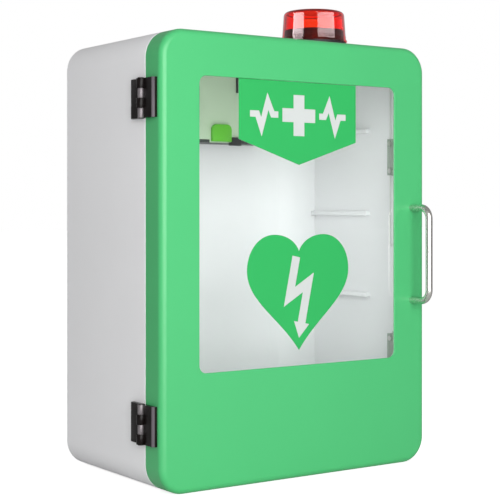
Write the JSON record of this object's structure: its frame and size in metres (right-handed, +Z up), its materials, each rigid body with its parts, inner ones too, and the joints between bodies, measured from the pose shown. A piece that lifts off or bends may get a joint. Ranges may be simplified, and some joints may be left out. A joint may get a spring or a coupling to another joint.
{
  "type": "defibrillator wall cabinet",
  "caption": "Wall cabinet for a defibrillator: sheet-metal box with side-hinged windowed door, pull handle, door alarm unit and warning beacon on top.",
  "frame": {"origin": "centre of the cabinet's wall face, at mid-height and mid-width", "axes": "+X to the right seen from the front, -Y out of the wall towards the user, +Y into the wall, +Z up"},
  "size_m": [0.3445, 0.2298, 0.496],
  "materials": {
    "white_powder_coat": "fine satin powder coat",
    "green_powder_coat": "fine satin powder coat",
    "black_hinge_coat": "gloss black coat",
    "zinc_steel": "zinc plated",
    "stainless": "satin",
    "seal_rubber": "matt",
    "pale_rubber": "matt",
    "grey_plastic": "moulded",
    "ferrite": "sintered",
    "white_plastic": "moulded",
    "alarm_plastic": "moulded",
    "dark_plastic": "moulded",
    "black_plastic": "moulded",
    "circuit_laminate": "solder mask",
    "lime_plastic": "moulded",
    "cell_wrap": "sleeved",
    "nickel": "polished",
    "red_lens": "clear moulded",
    "lamp_board": "moulded",
    "window_clear": "clear sheet",
    "white_vinyl": "film",
    "green_vinyl": "film"
  },
  "bodies": {
    "cabinet": {"body_shell": "white_powder_coat", "back_panel": "white_powder_coat", "front_frame": "white_powder_coat", "door_seal": "seal_rubber", "left_ledges": "white_powder_coat", "right_ledges": "white_powder_coat", "upper_hinge_body_leaf": "black_hinge_coat", "lower_hinge_body_leaf": "black_hinge_coat", "hinge_pins": "black_hinge_coat", "hinge_body_screws": "zinc_steel", "catch_housings": "grey_plastic", "catch_magnets": "ferrite", "catch_pole_plates": "zinc_steel", "catch_screws": "zinc_steel", "sensor_housing": "white_plastic", "sensor_screws": "zinc_steel", "sensor_cable": "white_plastic", "cable_grommet": "seal_rubber", "alarm_bracket": "zinc_steel", "alarm_nuts": "zinc_steel", "alarm_housing": "alarm_plastic", "alarm_trim": "dark_plastic", "alarm_screws": "zinc_steel", "alarm_plug": "black_plastic", "circuit_board": "circuit_laminate", "board_screws": "zinc_steel", "tact_switch": "black_plastic", "sounder": "black_plastic", "battery_tray": "dark_plastic", "batteries": "cell_wrap", "key_switch_body": "black_plastic", "beacon_gasket": "seal_rubber", "beacon_base": "black_plastic", "beacon_lens": "red_lens", "beacon_reflector": "nickel", "beacon_lamp": "lamp_board", "beacon_screws": "zinc_steel", "beacon_nuts": "zinc_steel", "beacon_cable": "black_plastic"},
    "door": {"door_panel": "green_powder_coat", "window_pane": "window_clear", "window_gasket": "pale_rubber", "window_retainer": "green_powder_coat", "retainer_studs": "zinc_steel", "retainer_nuts": "zinc_steel", "handle": "stainless", "handle_screws": "zinc_steel", "upper_hinge_door_leaf": "black_hinge_coat", "lower_hinge_door_leaf": "black_hinge_coat", "hinge_door_screws": "zinc_steel", "strike_plates": "zinc_steel", "sensor_magnet": "white_plastic", "banner_backing": "white_vinyl", "banner_decal": "green_vinyl", "heart_backing": "white_vinyl", "heart_decal": "green_vinyl"},
    "push_button": {"alarm_button": "lime_plastic"},
    "battery_hatch": {"battery_cover": "grey_plastic"},
    "lock_barrel": {"key_barrel": "nickel", "key": "nickel"}
  },
  "joints": [
    {"name": "door_swing", "type": "hinge", "parent": "cabinet", "child": "door", "pos_m": [-0.1725, -0.168, 0], "axis": [0, 0, -1], "range_deg": [0, 170]},
    {"name": "button_press", "type": "slide", "parent": "cabinet", "child": "push_button", "axis": [0, 1, 0], "range_m": [0, 0.002], "stiffness_N_per_m": 400, "springref_m": -0.0005},
    {"name": "battery_cover_slide", "type": "slide", "parent": "cabinet", "child": "battery_hatch", "axis": [0, 0, 1], "range_m": [0, 0.009]},
    {"name": "key_turn", "type": "hinge", "parent": "cabinet", "child": "lock_barrel", "pos_m": [0.0395, -0.033, 0.1965], "axis": [0, 1, 0], "range_deg": [0, 90]}
  ]
}
